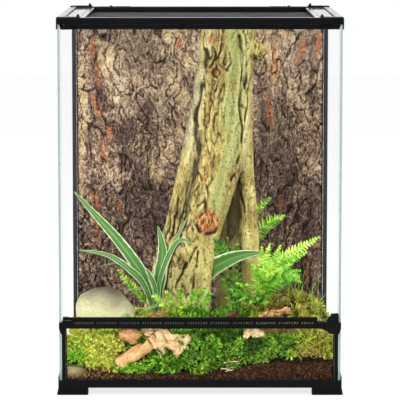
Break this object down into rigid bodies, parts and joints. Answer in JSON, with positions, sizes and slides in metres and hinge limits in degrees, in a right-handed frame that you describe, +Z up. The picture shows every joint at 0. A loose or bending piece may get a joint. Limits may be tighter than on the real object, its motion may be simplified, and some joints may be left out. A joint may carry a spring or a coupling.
{
  "type": "reptile terrarium",
  "caption": "Front-opening glass terrarium in a black frame, with a vent bar, a lift-out screen lid and a planted interior of bark, driftwood, moss and stone.",
  "frame": {"origin": "middle of the bounding box in plan, on the surface that the feet stand on", "axes": "+X to the right seen from the door, -Y out through the door, +Z up"},
  "size_m": [0.454, 0.464, 0.6036],
  "materials": {
    "frame_plastic": "satin black",
    "post_plastic": "satin dark grey",
    "latch_plastic": "semi-gloss black",
    "pane_glass": "clear with a green edge",
    "strip_glass": "clear",
    "pad_rubber": "matte",
    "gauze_metal": "matte dark",
    "screen_wire": "satin",
    "pin_steel": "satin",
    "bark": "rough bark",
    "soil": "loose, damp",
    "moss": "shaggy",
    "driftwood": "lichened wood",
    "stone": "smooth matte",
    "leaf": "satin, pale margins",
    "fern": "satin",
    "dry_bark": "dry"
  },
  "bodies": {
    "tank": {"foot_front_left": "frame_plastic", "foot_front_right": "frame_plastic", "foot_rear_left": "frame_plastic", "foot_rear_right": "frame_plastic", "foot_pads": "pad_rubber", "base_rail_front": "frame_plastic", "base_rail_rear": "frame_plastic", "base_rail_left": "frame_plastic", "base_rail_right": "frame_plastic", "floor_glass": "pane_glass", "side_glass_left": "pane_glass", "side_glass_right": "pane_glass", "rear_glass": "pane_glass", "lower_front_glass": "pane_glass", "lower_post_left": "frame_plastic", "lower_post_right": "frame_plastic", "rear_post_left": "post_plastic", "rear_post_right": "post_plastic", "vent_bar": "frame_plastic", "vent_gauze": "gauze_metal", "vent_end_clips": "frame_plastic", "latch_keeper": "frame_plastic", "top_corner_front_left": "frame_plastic", "top_corner_front_right": "frame_plastic", "top_corner_rear_left": "frame_plastic", "top_corner_rear_right": "frame_plastic", "top_rail_front": "frame_plastic", "top_rail_rear": "frame_plastic", "top_rail_left": "frame_plastic", "top_rail_right": "frame_plastic", "top_strip_left": "strip_glass", "top_strip_right": "strip_glass", "hinge_pins": "pin_steel", "bark_panel": "bark", "soil": "soil", "moss": "moss", "trunk": "driftwood", "stone_left": "stone", "striped_leaves": "leaf", "fern": "fern", "bark_pieces": "dry_bark"},
    "door": {"door_glass": "pane_glass", "door_bottom_trim": "frame_plastic", "door_shoe_lower": "frame_plastic", "door_shoe_upper": "frame_plastic", "latch_base": "frame_plastic"},
    "latch": {"latch_lever": "latch_plastic", "latch_spindle": "latch_plastic", "latch_cam": "latch_plastic"},
    "lid": {"lid_frame": "frame_plastic", "lid_screen": "screen_wire"},
    "button_fl": {"button_front_left": "frame_plastic"},
    "button_fr": {"button_front_right": "frame_plastic"},
    "button_rl": {"button_rear_left": "frame_plastic"},
    "button_rr": {"button_rear_right": "frame_plastic"},
    "cover_left": {"port_cover_left": "frame_plastic"},
    "cover_right": {"port_cover_right": "frame_plastic"}
  },
  "joints": [
    {"name": "door_hinge", "type": "hinge", "parent": "tank", "child": "door", "pos_m": [-0.213, -0.21598, 0.35], "axis": [0, 0, -1], "range_deg": [0, 110]},
    {"name": "latch_turn", "type": "hinge", "parent": "door", "child": "latch", "pos_m": [0.209, -0.22598, 0.112], "axis": [0, -1, 0], "range_deg": [0, 90]},
    {"name": "lid_lift", "type": "slide", "parent": "tank", "child": "lid", "axis": [0, 0, 1], "range_m": [0, 0.1]},
    {"name": "button_fl_turn", "type": "hinge", "parent": "tank", "child": "button_fl", "pos_m": [-0.1905, -0.21247, 0.6], "axis": [0, 0, 1], "range_deg": [0, 180]},
    {"name": "button_fr_turn", "type": "hinge", "parent": "tank", "child": "button_fr", "pos_m": [0.1905, -0.21247, 0.6], "axis": [0, 0, -1], "range_deg": [0, 180]},
    {"name": "button_rl_turn", "type": "hinge", "parent": "tank", "child": "button_rl", "pos_m": [-0.1905, 0.20453, 0.6], "axis": [0, 0, -1], "range_deg": [0, 180]},
    {"name": "button_rr_turn", "type": "hinge", "parent": "tank", "child": "button_rr", "pos_m": [0.1905, 0.20453, 0.6], "axis": [0, 0, 1], "range_deg": [0, 180]},
    {"name": "cover_left_slide", "type": "slide", "parent": "tank", "child": "cover_left", "axis": [1, 0, 0], "range_m": [0, 0.028]},
    {"name": "cover_right_slide", "type": "slide", "parent": "tank", "child": "cover_right", "axis": [-1, 0, 0], "range_m": [0, 0.028]}
  ]
}
